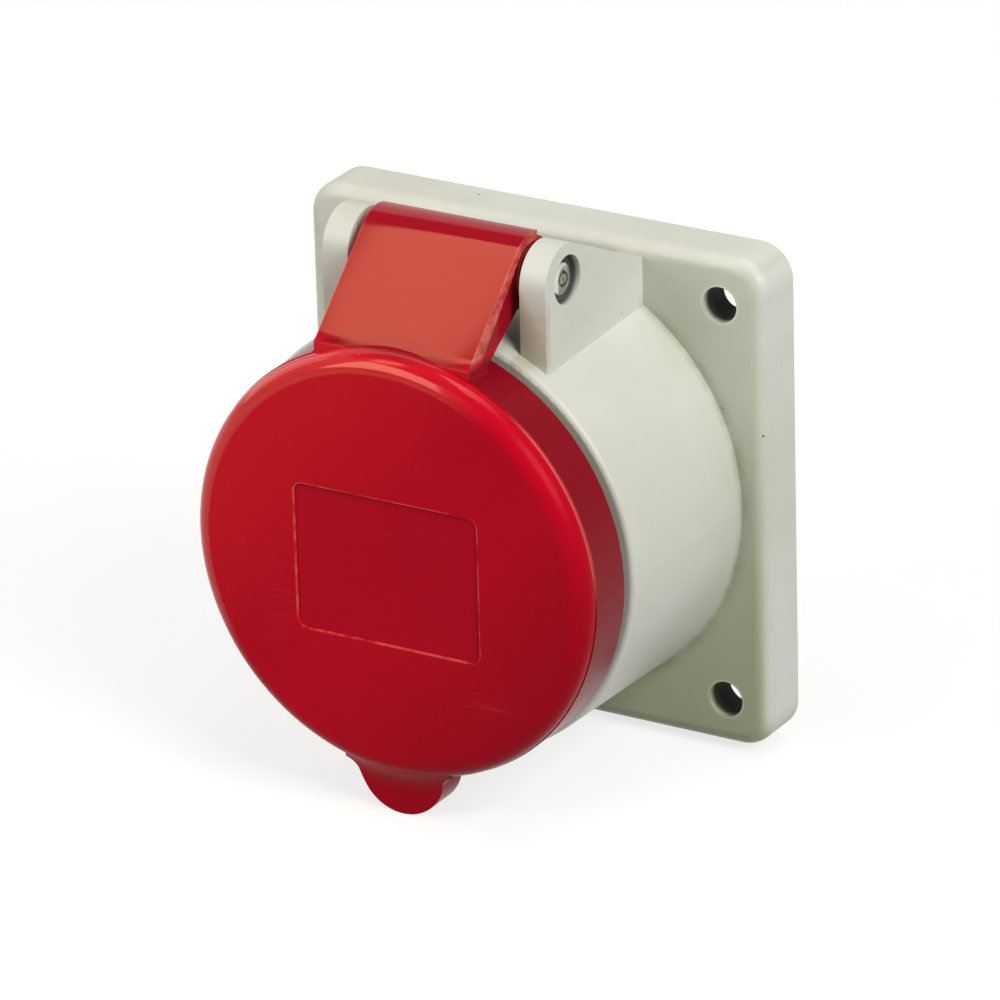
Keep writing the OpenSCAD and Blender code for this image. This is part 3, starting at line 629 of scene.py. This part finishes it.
def makePinHead(spec, side):
    # A revolved dome on the pin's end, as a parameter t goes from the rim (0) to the middle (1):
    # radius R cos(pi t / 2), height rise sin(pi t / 2) less a dimple that falls off as
    # exp(-(radius / dimple radius) squared); the angle goes round the pin's axis.
    t = np.linspace(0, 1, spec["rings"], endpoint=False)
    reach = spec["radius"] * np.cos(math.pi * t / 2)
    rise = spec["rise"] * np.sin(math.pi * t / 2) ** 0.8
    rise = rise - spec["dimple"] * np.exp(-(reach / spec["dimpleRadius"]) ** 2)
    angle = np.linspace(0, 2 * math.pi, spec["sides"], endpoint=False)
    rows, count = spec["rings"], spec["sides"]
    ring = np.empty((rows, count, 3))
    ring[..., 0] = (spec["end"] + rise)[:, None]
    ring[..., 1] = hinge.y + reach[:, None] * np.cos(angle)
    ring[..., 2] = hinge.z + reach[:, None] * np.sin(angle)
    middle = spec["end"] + spec["rise"] - spec["dimple"]
    points = np.concatenate([ring.reshape(-1, 3), [[spec["end"], hinge.y, hinge.z],
                                                   [middle, hinge.y, hinge.z]]])
    row, turn = np.meshgrid(np.arange(rows - 1), np.arange(count), indexing="ij")
    near = (turn + 1) % count
    a, b = row * count + turn, row * count + near
    walls = np.stack([a, b, b + count, a, b + count, a + count], -1).reshape(-1, 3)
    j = np.arange(count)
    k = (j + 1) % count
    last = (rows - 1) * count
    caps = np.concatenate([np.stack([np.full(count, rows * count), k, j], -1),
                           np.stack([np.full(count, rows * count + 1), last + j, last + k], -1)])
    faces = np.concatenate([walls, caps])
    points[:, 0] *= side
    if side < 0:
        faces = faces[:, ::-1]
    piece = addMesh("pinHead" + ("Right" if side > 0 else "Left"), points, faces, "pin_steel")
    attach(piece, "housing")


makeHingeSpring(hingeSpring)
for side in (1, -1):
    makePinHead(pinHead, side)
print("pieces made")


# ---- floor, light, camera

studio = {
    "paperTone": (0.30, 0.298, 0.29, 1.0),
    "paperFleck": (0.32, 0.317, 0.308, 1.0),
    "paperShown": 0.74,        # added where the paper is seen, so that it shows white
    "paperSides": 64,
    "paperReach": 7.0,
    "paperBend": 2.0,
    "paperHeight": 7.5,
    "skyTone": (1.0, 0.995, 0.96, 1.0),
    "skyLight": 0.12,
}
# each lamp: its shape, how far round it stands (degrees, 0 in front, positive to the right), how
# high (degrees), how far away and its size (metres), its power in watts and its tint
lamps = {
    "frontBox": ("RECTANGLE", -30.0, 28.0, 1.5, 0.8, 10.0, (1.0, 0.99, 0.95)),
    "sideBox": ("RECTANGLE", 71.0, 35.0, 1.5, 0.8, 18.5, (1.0, 1.0, 0.97)),
    "overBox": ("RECTANGLE", 120.0, 75.0, 1.4, 0.7, 5.0, (0.96, 0.98, 1.0)),
    "leftBox": ("RECTANGLE", -95.0, 22.0, 1.3, 0.8, 2.4, (1.0, 0.95, 0.9)),
}
neckLamp = {
    "size": 0.21,
    "long": 0.46,
    "away": 0.95,
    "watts": 1.0,
    "tint": (1.0, 0.70, 0.52),
    "aim": (0.0, -0.0395, 0.0372),
    "upSlope": (0.0, 0.735, 0.678),   # the direction in which the arm's plate climbs
    "shift": (-0.012, 0.10),          # along X and up that slope, in metres
    "lean": -14.0,                    # how far its long side is turned, in degrees
}


def makePaper(spec):
    # A sweep of paper, a profile turned about Z: flat out to (reach - bend), a quarter round of
    # that bend, then straight up. Points are (rho cos u, rho sin u, h).
    low = cadBox[0][2]
    reach, bend, sides = spec["paperReach"], spec["paperBend"], spec["paperSides"]
    turn = np.linspace(0, math.pi / 2, 12)
    out = np.concatenate([[0.3, 1.0, 3.0], reach - bend + bend * np.sin(turn), [reach]])
    high = np.concatenate([[0, 0, 0], bend - bend * np.cos(turn), [spec["paperHeight"]]]) + low
    angle = np.linspace(0, 2 * math.pi, sides, endpoint=False)
    ring = np.empty((len(out), sides, 3))
    ring[..., 0] = out[:, None] * np.cos(angle)
    ring[..., 1] = out[:, None] * np.sin(angle)
    ring[..., 2] = high[:, None]
    points = np.concatenate([ring.reshape(-1, 3), [[0, 0, low]]])
    row, step = np.meshgrid(np.arange(len(out) - 1), np.arange(sides), indexing="ij")
    near = (step + 1) % sides
    a, b = row * sides + step, row * sides + near
    walls = np.stack([a, a + sides, b + sides, a, b + sides, b], -1).reshape(-1, 3)
    j = np.arange(sides)
    caps = np.stack([np.full(sides, len(points) - 1), j, (j + 1) % sides], -1)

    paint = Paint("studioPaper")
    path = paint.node("LightPath").socket.node.outputs
    seen = [Wire(paint, path[key]) for key in ("Is Camera Ray", "Is Glossy Ray",
                                               "Is Transmission Ray")]
    shown = seen[0].most(seen[1]).most(seen[2])   # 1 for what is looked at, 0 for bounced light
    colour = paint.mix(spec["paperTone"], spec["paperFleck"], paint.noise(300.0, 2.0))
    matt = paint.node("BsdfDiffuse", sockets={"Color": colour})
    glow = paint.node("Emission", sockets={"Color": (1, 1, 1, 1),
                                           "Strength": shown * spec["paperShown"]})
    both = paint.node("AddShader", sockets={0: matt, 1: glow})
    paint.node("OutputMaterial", sockets={"Surface": both})
    mesh = bpy.data.meshes.new("paper")
    mesh.from_pydata(points.tolist(), [], np.concatenate([walls, caps]).tolist())
    mesh.polygons.foreach_set("use_smooth", np.ones(len(mesh.polygons), bool))
    mesh.materials.append(paint.material)
    paper = bpy.data.objects.new("paper", mesh)
    scene.collection.objects.link(paper)


def makeSky(spec):
    world = bpy.data.worlds.new("studioSky")
    world.use_nodes = True
    sky = world.node_tree.nodes["Background"]
    sky.inputs["Color"].default_value = spec["skyTone"]
    sky.inputs["Strength"].default_value = spec["skyLight"]
    scene.world = world


def addLamp(name, shape, place, aim, size, watts, tint):
    lamp = bpy.data.lights.new(name, "AREA")
    lamp.shape = shape
    lamp.size = size
    lamp.size_y = size
    lamp.energy = watts
    lamp.color = tint
    holder = bpy.data.objects.new(name, lamp)
    scene.collection.objects.link(holder)
    holder.location = place
    holder.rotation_euler = (Vector(aim) - Vector(place)).to_track_quat("-Z", "Y").to_euler()
    return holder


def makeLamps(sight):
    for name, (shape, round_, high, away, size, watts, tint) in lamps.items():
        a, e = math.radians(round_), math.radians(high)
        place = away * Vector((math.sin(a) * math.cos(e), -math.cos(a) * math.cos(e),
                               math.sin(e)))
        addLamp(name, shape, place, (0, -0.02, 0), size, watts, tint)
    # the lamp whose gloss lies on the hinge arm: it hangs where the arm mirrors the camera
    aim = Vector(neckLamp["aim"])
    along = Vector(neckLamp["upSlope"]).normalized()
    normal = Vector((1, 0, 0)).cross(along)
    mirror = sight - 2 * sight.dot(normal) * normal
    right = (Vector((1, 0, 0)) - mirror.x * mirror).normalized()
    along = (along - mirror.dot(along) * mirror).normalized()
    place = aim + mirror * neckLamp["away"]
    place = place + right * neckLamp["shift"][0] + along * neckLamp["shift"][1]
    holder = addLamp("neckLamp", "ELLIPSE", place, aim, neckLamp["size"], neckLamp["watts"],
                     neckLamp["tint"])
    holder.data.size_y = neckLamp["long"]
    facing = -(aim - place).normalized()
    across = (right - right.dot(facing) * facing).normalized()
    upward = facing.cross(across)
    lean = math.radians(neckLamp["lean"])
    wide = math.cos(lean) * across + math.sin(lean) * upward
    tall = facing.cross(wide)
    holder.rotation_euler = Matrix((wide, tall, facing)).transposed().to_euler()
    print("lamp over the arm at", [round(v, 2) for v in place])


view = {
    "side": 31.134,     # degrees round to the right, seen from the front
    "above": 23.233,
    "roll": 1.61,
    "distance": 1.1338,
    "focal": 8.005,     # focal length over the sensor's width
    "aim": (0.0, -0.00821, 0.0),
    "aimShown": (0.53856, 0.46531),   # where that point shows, as shares of the frame
}


def makeCamera(spec):
    a, e, r = (math.radians(spec[k]) for k in ("side", "above", "roll"))
    right = Vector((math.cos(a), math.sin(a), 0.0))
    look = Vector((-math.sin(a) * math.cos(e), math.cos(a) * math.cos(e), -math.sin(e)))
    up = Vector((-math.sin(a) * math.sin(e), math.cos(a) * math.sin(e), math.cos(e)))
    rightTurned = math.cos(r) * right - math.sin(r) * up
    upTurned = math.sin(r) * right + math.cos(r) * up
    offX = (spec["aimShown"][0] - 0.5) / spec["focal"] * spec["distance"]
    offY = (0.5 - spec["aimShown"][1]) / spec["focal"] * spec["distance"]
    place = (Vector(spec["aim"]) - offX * rightTurned - offY * upTurned
             - spec["distance"] * look)
    lens = bpy.data.cameras.new("camera")
    lens.sensor_width = 36.0
    lens.lens = 36.0 * spec["focal"]
    lens.clip_start, lens.clip_end = 0.05, 50.0
    camera = bpy.data.objects.new("camera", lens)
    camera.matrix_world = Matrix((
        (rightTurned.x, upTurned.x, -look.x, place.x),
        (rightTurned.y, upTurned.y, -look.y, place.y),
        (rightTurned.z, upTurned.z, -look.z, place.z),
        (0, 0, 0, 1)))
    scene.collection.objects.link(camera)
    scene.camera = camera
    return look


makePaper(studio)
makeSky(studio)
makeLamps(makeCamera(view))
scene.view_settings.view_transform = "Standard"
print("studio made")
